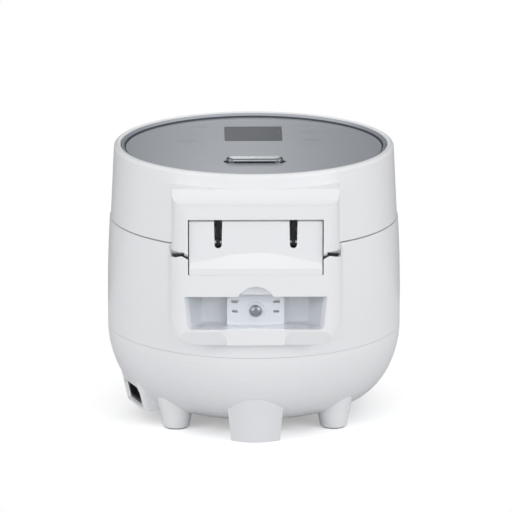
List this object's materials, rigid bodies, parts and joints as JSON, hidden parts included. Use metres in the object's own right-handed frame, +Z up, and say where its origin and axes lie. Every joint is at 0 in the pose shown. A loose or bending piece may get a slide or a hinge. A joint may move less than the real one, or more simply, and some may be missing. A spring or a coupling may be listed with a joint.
{
  "type": "rice cooker",
  "caption": "Round white rice cooker with a hinged domed-rim lid, touch panel, lift-out pot, steam vent and a pull-out dew collector at the back.",
  "frame": {"origin": "on the axis of the round body, at floor level", "axes": "+Z up, +Y towards the back with the hinge and the dew collector, +X towards the side with the power inlet"},
  "size_m": [0.23, 0.2398, 0.214],
  "materials": {
    "white_shell": "moulded white, light gloss",
    "white_inner": "moulded white, satin",
    "foot_plastic": "moulded light grey, satin",
    "pad_rubber": "matte",
    "panel_silver": "silver blue-grey, gloss",
    "vent_silver": "bright silver, brushed",
    "window_dark": "smoked display window, gloss",
    "clear_plastic": "clear moulded plastic",
    "black_plastic": "matte black",
    "steel": "zinc-plated sheet and wire",
    "dark_steel": "blackened steel",
    "casing_steel": "aluminised sheet",
    "aluminium": "satin",
    "pot_coating": "dark non-stick coating",
    "silicone": "translucent white silicone",
    "circuit_board": "green solder mask",
    "board_parts": "mixed dark moulded cases",
    "brass": "bright",
    "foam": "conductive foam"
  },
  "bodies": {
    "cooker_body": {"base_shell": "white_shell", "foot_pads": "pad_rubber", "rear_foot": "foot_plastic", "base_screws": "steel", "body_shell": "white_shell", "deck_ring": "white_inner", "inner_casing": "casing_steel", "heating_plate": "aluminium", "heater_element": "dark_steel", "thermal_fuse": "brass", "sensor_guide": "steel", "sensor_spring": "steel", "inner_pot": "pot_coating", "power_board": "circuit_board", "board_parts": "board_parts", "inlet_socket": "black_plastic", "inlet_pins": "brass", "hinge_cover": "white_shell", "hinge_bracket": "steel", "hinge_pin": "steel", "hinge_springs": "dark_steel", "bracket_screws": "steel", "bay_screw": "steel", "latch_pin": "steel", "latch_spring": "steel"},
    "lid": {"lid_shell": "white_shell", "top_panel": "panel_silver", "display_window": "window_dark", "display_module": "black_plastic", "control_board": "circuit_board", "touch_pads": "foam", "vent_pocket": "white_inner", "steam_duct": "white_inner", "steam_seal": "silicone", "lid_liner": "white_inner", "inner_plate": "aluminium", "pot_gasket": "silicone", "plate_knob": "silicone", "lid_catch": "steel", "lid_screws": "steel", "hinge_arms": "dark_steel", "arm_rivets": "steel"},
    "temperature_sensor": {"sensor_cap": "aluminium"},
    "dew_cup": {"dew_collector": "clear_plastic"},
    "opening_button": {"latch_button": "white_shell"},
    "latch": {"latch_hook": "black_plastic"},
    "vent": {"vent_cap": "vent_silver"}
  },
  "joints": [
    {"name": "lid_hinge", "type": "hinge", "parent": "cooker_body", "child": "lid", "pos_m": [0, 0.116, 0.163], "axis": [-1, 0, 0], "range_deg": [0, 80]},
    {"name": "dew_cup_slide", "type": "slide", "parent": "cooker_body", "child": "dew_cup", "axis": [0, 1, 0], "range_m": [0, 0.03]},
    {"name": "vent_lift", "type": "slide", "parent": "lid", "child": "vent", "axis": [0, 0, 1], "range_m": [0, 0.014]},
    {"name": "sensor_travel", "type": "slide", "parent": "cooker_body", "child": "temperature_sensor", "axis": [0, 0, 1], "range_m": [-0.004, 0], "stiffness_N_per_m": 600, "springref_m": 0.002, "deforming": ["sensor_spring"]},
    {"name": "button_press", "type": "slide", "parent": "cooker_body", "child": "opening_button", "axis": [0, 1, 0], "range_m": [0, 0.0026]},
    {"name": "latch_pivot", "type": "hinge", "parent": "cooker_body", "child": "latch", "pos_m": [0, -0.1048, 0.104], "axis": [-1, 0, 0], "range_deg": [0, 4.9], "stiffness_Nm_per_rad": 0.6, "springref_deg": -4.58}
  ],
  "couplings": [
    {"joint": "latch_pivot", "follows": "button_press", "rad_per_m": 32.787}
  ]
}
